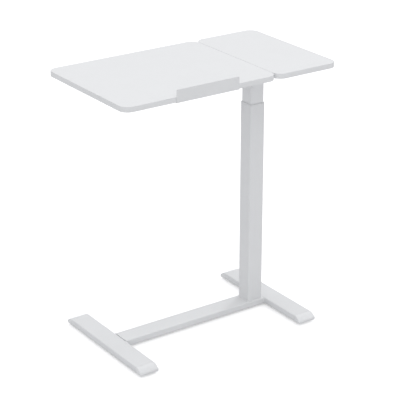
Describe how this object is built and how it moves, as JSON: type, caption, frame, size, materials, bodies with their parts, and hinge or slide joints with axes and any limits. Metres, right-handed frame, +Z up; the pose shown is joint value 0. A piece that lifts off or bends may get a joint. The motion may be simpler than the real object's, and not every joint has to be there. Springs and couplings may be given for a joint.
{
  "type": "overbed table",
  "caption": "Overbed table with a telescopic gas spring column on an H-shaped foot frame, a fixed side top and a tilting main top with a paper stop.",
  "frame": {"origin": "on the floor below the middle of the whole table top", "axes": "+Z up, +X towards the column end, -Y towards the paper stop"},
  "size_m": [0.7, 0.4018, 0.81],
  "materials": {
    "white_laminate": "white satin laminate on board",
    "white_paint": "white powder coat, satin",
    "white_plastic": "white moulded plastic, fine grain",
    "grey_plastic": "grey moulded plastic",
    "dark_plastic": "dark grey moulded plastic, fine grain",
    "rubber": "black rubber",
    "zinc_steel": "zinc plated steel",
    "chrome_rod": "hard chrome, polished",
    "black_paint": "black paint, satin"
  },
  "bodies": {
    "base": {"left_foot_tube": "white_paint", "right_foot_tube": "white_paint", "cross_beam": "white_paint", "left_front_foot_cap": "white_plastic", "left_back_foot_cap": "white_plastic", "right_front_foot_cap": "white_plastic", "right_back_foot_cap": "white_plastic", "left_front_glide_nut": "zinc_steel", "left_back_glide_nut": "zinc_steel", "right_front_glide_nut": "zinc_steel", "right_back_glide_nut": "zinc_steel", "beam_tongue": "zinc_steel", "tongue_screw_1": "zinc_steel", "tongue_screw_2": "zinc_steel", "column_base_plate": "zinc_steel", "base_bolt_1": "zinc_steel", "base_bolt_2": "zinc_steel", "base_bolt_3": "zinc_steel", "base_bolt_4": "zinc_steel", "outer_column": "white_paint", "upper_guide_bush": "white_plastic", "gas_cylinder": "black_paint", "cylinder_gland": "zinc_steel"},
    "lift": {"inner_column": "white_paint", "lower_guide_bush": "grey_plastic", "gas_rod": "chrome_rod", "gas_piston": "zinc_steel", "release_plug": "zinc_steel", "head_plate": "white_paint", "plate_screw_1": "zinc_steel", "plate_screw_2": "zinc_steel", "plate_screw_3": "zinc_steel", "plate_screw_4": "zinc_steel", "arm_socket": "white_paint", "socket_set_screw": "zinc_steel", "support_arm": "white_paint", "arm_end_cap": "dark_plastic", "lever_bracket": "zinc_steel", "lever_pivot_pin": "zinc_steel", "rest_finger": "white_paint", "rest_bumper": "rubber", "side_top": "white_laminate"},
    "height_lever": {"height_lever": "zinc_steel", "lever_grip": "dark_plastic"},
    "release_pin": {"release_pin": "zinc_steel"},
    "tilt_top": {"main_top": "white_laminate", "paper_stop": "white_paint", "stop_screw_1": "zinc_steel", "stop_screw_2": "zinc_steel", "stop_screw_3": "zinc_steel", "tilt_saddle_left": "white_paint", "tilt_saddle_right": "white_paint", "saddle_bush_left": "dark_plastic", "saddle_bush_right": "dark_plastic", "clamp_bolt": "zinc_steel"},
    "tilt_knob": {"tilt_knob": "dark_plastic"},
    "left_front_glide": {"left_front_glide": "grey_plastic"},
    "left_back_glide": {"left_back_glide": "grey_plastic"},
    "right_front_glide": {"right_front_glide": "grey_plastic"},
    "right_back_glide": {"right_back_glide": "grey_plastic"}
  },
  "joints": [
    {"name": "column_lift", "type": "slide", "parent": "base", "child": "lift", "axis": [0, 0, 1], "range_m": [-0.08, 0.32]},
    {"name": "lever_hinge", "type": "hinge", "parent": "lift", "child": "height_lever", "pos_m": [0.24, 0, 0.7593], "axis": [0, -1, 0], "range_deg": [0, 5], "stiffness_Nm_per_rad": 4, "springref_deg": -5.73},
    {"name": "release_pin_slide", "type": "slide", "parent": "lift", "child": "release_pin", "axis": [0, 0, -1], "range_m": [0, 0.0031]},
    {"name": "top_tilt", "type": "hinge", "parent": "lift", "child": "tilt_top", "pos_m": [0, 0, 0.75], "axis": [1, 0, 0], "range_deg": [0, 40]},
    {"name": "knob_turn", "type": "hinge", "parent": "tilt_top", "child": "tilt_knob", "pos_m": [0.095, -0.032, 0.73], "axis": [0, 0, 1], "range_deg": [0, 180]},
    {"name": "left_front_glide_adjust", "type": "slide", "parent": "base", "child": "left_front_glide", "axis": [0, 0, -1], "range_m": [0, 0.006]},
    {"name": "left_back_glide_adjust", "type": "slide", "parent": "base", "child": "left_back_glide", "axis": [0, 0, -1], "range_m": [0, 0.006]},
    {"name": "right_front_glide_adjust", "type": "slide", "parent": "base", "child": "right_front_glide", "axis": [0, 0, -1], "range_m": [0, 0.006]},
    {"name": "right_back_glide_adjust", "type": "slide", "parent": "base", "child": "right_back_glide", "axis": [0, 0, -1], "range_m": [0, 0.006]}
  ],
  "couplings": [
    {"joint": "release_pin_slide", "follows": "lever_hinge", "m_per_rad": 0.035}
  ]
}
